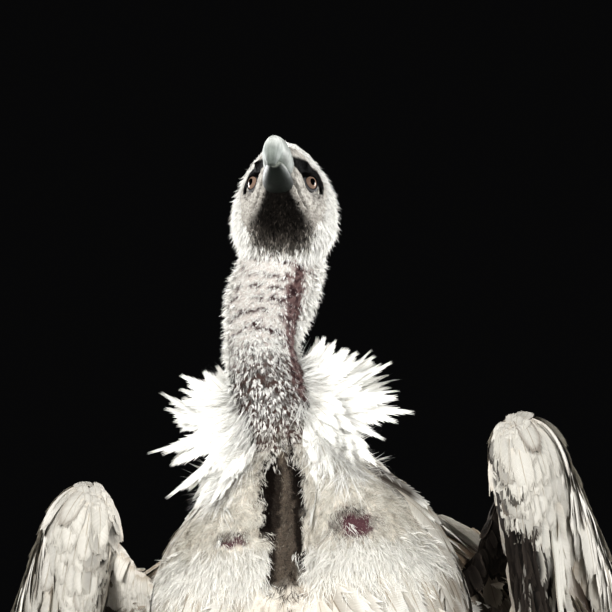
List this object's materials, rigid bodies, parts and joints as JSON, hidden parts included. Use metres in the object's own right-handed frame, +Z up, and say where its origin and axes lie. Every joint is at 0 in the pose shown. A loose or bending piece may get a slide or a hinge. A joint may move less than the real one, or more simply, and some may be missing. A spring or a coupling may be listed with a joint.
{
  "type": "griffon vulture model",
  "caption": "Life-size standing griffon vulture with raised neck, spread white ruff, bare crop patch, half-open drooping wings and feathered thighs.",
  "frame": {"origin": "on the floor, under the middle of the whole bird's box", "axes": "+Z up, -Y the way the bird faces, +X its own left side"},
  "size_m": [0.694, 0.6367, 0.892],
  "materials": {
    "down": "soft white down and ruff feathers, matt",
    "body_plumage": "cream and pale brown body feathers, matt",
    "wing_feathers": "pale coverts over dark flight feathers, matt",
    "tail_feathers": "dark brown feathers, slightly silky",
    "bill_horn": "grey horn, satin",
    "eye": "copper-brown iris with a black pupil, wet gloss",
    "scaled_skin": "grey scaled skin, matt",
    "claw_horn": "blackish horn, satin"
  },
  "bodies": {
    "root": {"head": "down", "bill_upper": "bill_horn", "bill_lower": "bill_horn", "eye_left": "eye", "eye_right": "eye", "neck_upper": "down", "neck_middle": "down", "neck_lower": "down", "torso": "body_plumage", "ruff_left": "down", "ruff_right": "down", "ruff_back": "down", "wing_left": "wing_feathers", "wing_right": "wing_feathers", "tail": "tail_feathers", "thigh_left": "body_plumage", "tarsus_left": "scaled_skin", "foot_left": "scaled_skin", "claw_left_inner": "claw_horn", "claw_left_middle": "claw_horn", "claw_left_outer": "claw_horn", "claw_left_hind": "claw_horn", "thigh_right": "body_plumage", "tarsus_right": "scaled_skin", "foot_right": "scaled_skin", "claw_right_inner": "claw_horn", "claw_right_middle": "claw_horn", "claw_right_outer": "claw_horn", "claw_right_hind": "claw_horn"}
  },
  "joints": []
}
